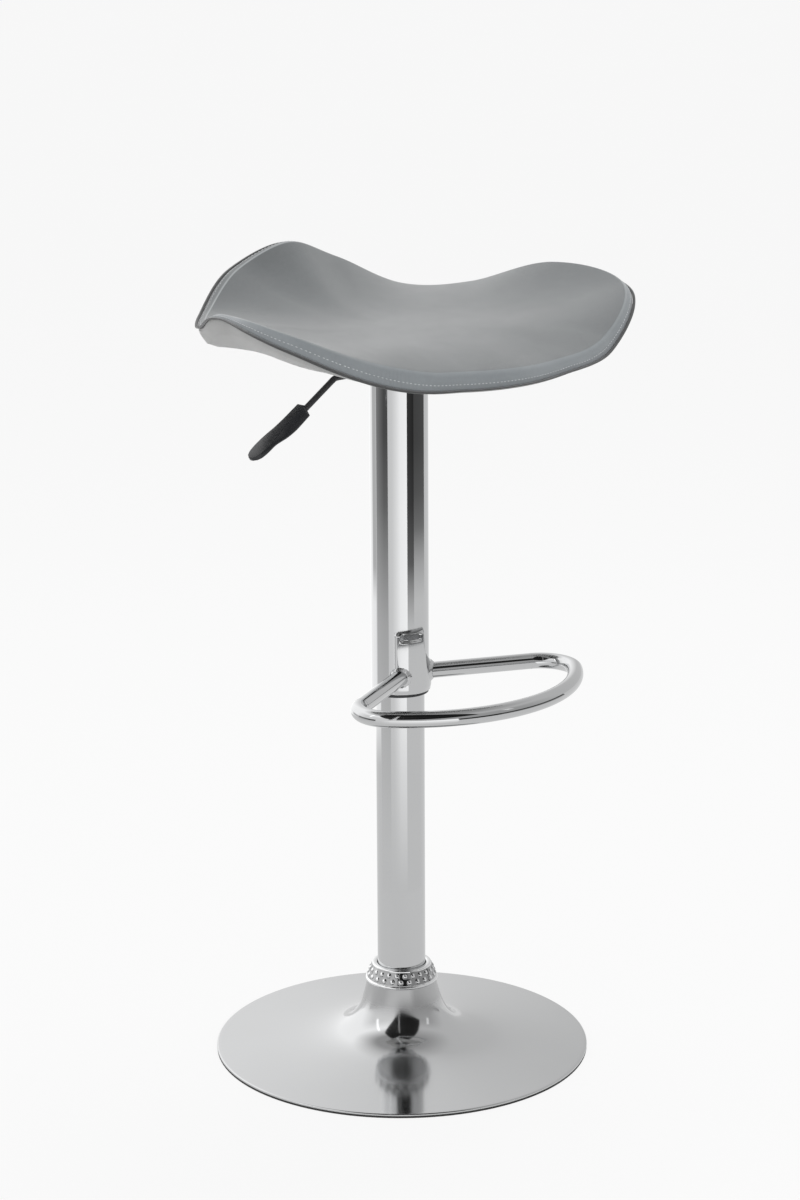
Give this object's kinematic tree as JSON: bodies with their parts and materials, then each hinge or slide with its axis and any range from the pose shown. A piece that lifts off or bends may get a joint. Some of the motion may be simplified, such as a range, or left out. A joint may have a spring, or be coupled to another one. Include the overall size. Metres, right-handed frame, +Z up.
{
  "type": "bar stool",
  "caption": "Height-adjustable swivel bar stool with a saddle-shaped padded seat, gas lift, bent tube footrest and round trumpet base.",
  "frame": {"origin": "on the floor at the axis of the column", "axes": "+Z up along the column; a person on the seat faces -Y, over the footrest and the seat's low front edge; the lift lever points to -X, the person's right"},
  "size_m": [0.487, 0.39, 0.834],
  "materials": {
    "chrome_sheet": "polished chrome plating on pressed steel sheet",
    "chrome_tube": "polished chrome plating on steel tube",
    "cast_weight": "rough cast, unpainted",
    "plain_steel": "plain bright steel",
    "ground_steel": "hardened and ground steel",
    "black_painted_steel": "black powder coat, satin",
    "black_plastic": "moulded black plastic, fine matt",
    "black_rubber": "soft black rubber",
    "brass_cage": "stamped brass",
    "moulded_wood": "moulded plywood, raw",
    "grey_leatherette": "grey leatherette over foam, fine grain, low sheen",
    "light_grey_cover": "light grey moulded cover, smooth matt"
  },
  "bodies": {
    "base": {"base_cover": "chrome_sheet", "base_weight": "cast_weight", "base_hub": "plain_steel", "floor_ring": "black_rubber", "column_collar": "chrome_sheet", "column_tube": "chrome_tube", "guide_bush": "black_plastic", "lower_race": "ground_steel"},
    "bearing": {"ball_cage": "brass_cage", "bearing_balls": "ground_steel"},
    "spindle": {"upper_race": "ground_steel", "piston_rod": "ground_steel", "piston": "black_plastic", "bump_stop": "black_rubber", "rod_washer": "plain_steel", "rod_clip": "plain_steel"},
    "lift": {"gas_cylinder": "black_painted_steel", "rod_guide": "black_plastic", "sleeve_tube": "chrome_tube", "sleeve_bush": "black_plastic", "sleeve_top_ring": "plain_steel", "footrest_bracket": "chrome_sheet", "footrest_ring": "chrome_tube", "footrest_welds": "chrome_sheet", "taper_hub": "black_painted_steel", "lever_box": "black_painted_steel", "seat_plate": "black_painted_steel", "lever_grommet": "black_plastic", "seat_bolts": "plain_steel", "tee_nuts": "plain_steel", "seat_shell": "moulded_wood", "seat_cushion": "grey_leatherette", "seat_underside": "light_grey_cover", "seat_seam": "grey_leatherette"},
    "lever": {"lever_rod": "black_painted_steel", "lever_handle": "black_plastic"},
    "pin": {"release_pin": "ground_steel"}
  },
  "joints": [
    {"name": "seat_swivel", "type": "hinge", "parent": "base", "child": "spindle", "pos_m": [0, 0, 0.02], "axis": [0, 0, 1], "continuous": true},
    {"name": "bearing_turn", "type": "hinge", "parent": "base", "child": "bearing", "pos_m": [0, 0, 0.02], "axis": [0, 0, 1], "continuous": true},
    {"name": "seat_height", "type": "slide", "parent": "spindle", "child": "lift", "axis": [0, 0, 1], "range_m": [-0.21, 0]},
    {"name": "lever_pull", "type": "hinge", "parent": "lift", "child": "lever", "pos_m": [-0.02875, 0, 0.72293], "axis": [0, 1, 0], "range_deg": [0, 8], "stiffness_Nm_per_rad": 8, "springref_deg": -2.86},
    {"name": "pin_press", "type": "slide", "parent": "lift", "child": "pin", "axis": [0, 0, 1], "range_m": [-0.004, 0]}
  ],
  "couplings": [
    {"joint": "bearing_turn", "follows": "seat_swivel", "ratio": 0.5},
    {"joint": "pin_press", "follows": "lever_pull", "m_per_rad": -0.0286}
  ]
}
